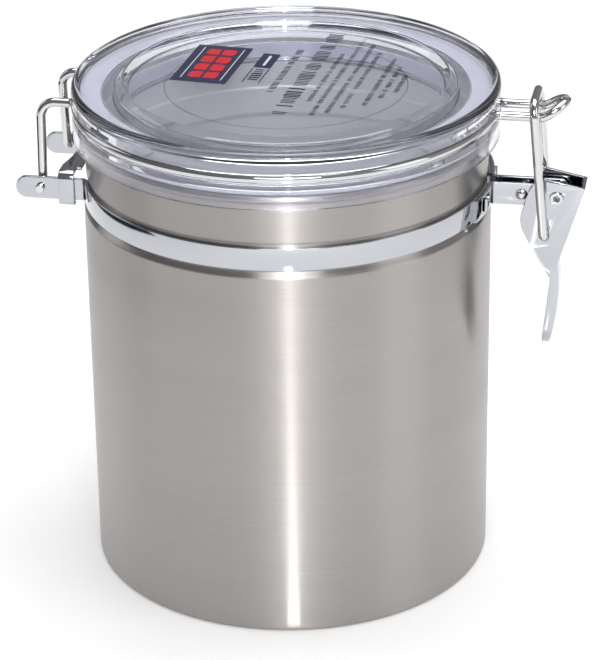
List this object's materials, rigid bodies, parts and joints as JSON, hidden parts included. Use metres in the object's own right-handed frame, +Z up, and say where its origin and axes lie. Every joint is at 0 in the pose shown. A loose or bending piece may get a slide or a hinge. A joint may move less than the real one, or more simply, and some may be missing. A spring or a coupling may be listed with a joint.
{
  "type": "food canister",
  "caption": "Round brushed steel food canister with a clear sealed lid on a wire hinge, chromed collar band and toggle latch with a wire bail.",
  "frame": {"origin": "centre of the base, on the surface the canister stands on", "axes": "+Z up along the can, +X towards the latch, -X towards the hinge, -Y the front of the can"},
  "size_m": [0.1765, 0.1334, 0.1616],
  "materials": {
    "brushed_steel": "brushed",
    "chromed_steel": "polished",
    "chromed_wire": "polished",
    "clear_acrylic": "clear polished",
    "clear_silicone": "translucent satin",
    "label_film": "printed clear film"
  },
  "bodies": {
    "can": {"canister_body": "brushed_steel", "base_disc": "brushed_steel", "collar_band_front": "chromed_steel", "collar_band_back": "chromed_steel", "hinge_clip": "chromed_steel", "latch_ear_front": "chromed_steel", "latch_ear_back": "chromed_steel", "tie_rivet": "chromed_steel", "pivot_rivet": "chromed_steel"},
    "lid_group": {"lid": "clear_acrylic", "gasket": "clear_silicone", "lid_wire": "chromed_wire", "lid_label": "label_film"},
    "lever": {"latch_lever": "chromed_steel"},
    "bail": {"latch_bail": "chromed_wire"}
  },
  "joints": [
    {"name": "lid_hinge", "type": "hinge", "parent": "can", "child": "lid_group", "pos_m": [-0.075, 0, 0.1273], "axis": [0, -1, 0], "range_deg": [0, 200]},
    {"name": "lever_pivot", "type": "hinge", "parent": "can", "child": "lever", "pos_m": [0.085, 0, 0.1273], "axis": [0, -1, 0], "range_deg": [0, 120]},
    {"name": "bail_swing", "type": "hinge", "parent": "lever", "child": "bail", "pos_m": [0.0814, 0, 0.1143], "axis": [0, -1, 0], "range_deg": [-84, 0]}
  ],
  "couplings": [
    {"joint": "bail_swing", "follows": "lever_pivot", "ratio": -0.7}
  ]
}
